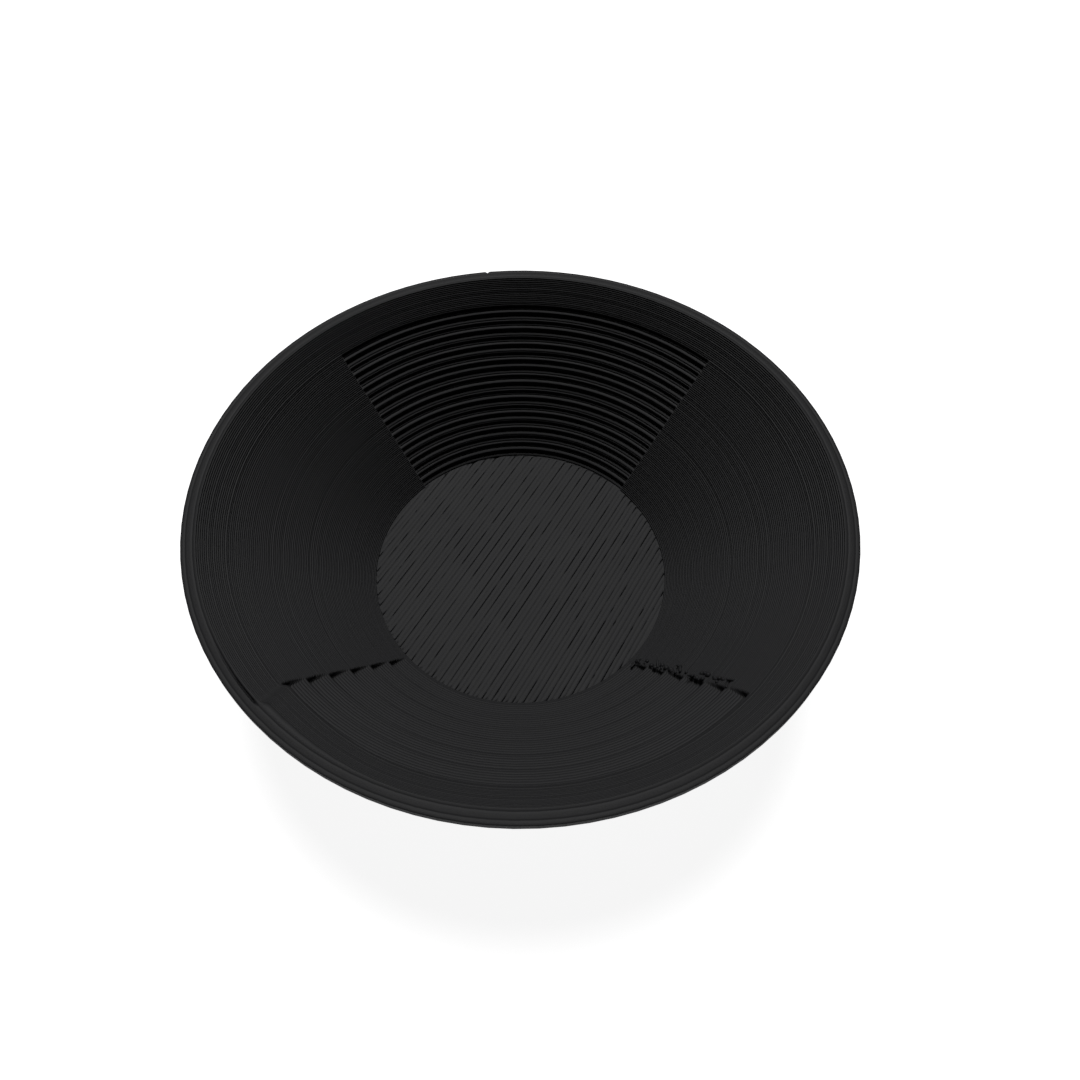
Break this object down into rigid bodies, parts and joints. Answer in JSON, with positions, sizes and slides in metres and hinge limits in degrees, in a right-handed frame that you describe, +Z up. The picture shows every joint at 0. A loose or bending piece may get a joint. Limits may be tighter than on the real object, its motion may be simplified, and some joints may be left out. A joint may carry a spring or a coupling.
{
  "type": "gold pan",
  "caption": "Small round gold pan with a flat floor, a sloped wall, fine riffles on one side and coarse steps opposite, 3D printed in one piece.",
  "frame": {"origin": "centre of the flat base, on its underside", "axes": "+Z up through the bowl's centre, +Y towards the fine riffles, -Y towards the coarse steps, +X to the right as seen from the coarse steps"},
  "size_m": [0.088, 0.088, 0.0224],
  "materials": {
    "printed_plastic": "black filament, satin, with printed layer lines on the wall and raster lines on the floor"
  },
  "bodies": {
    "root": {"pan": "printed_plastic"}
  },
  "joints": []
}
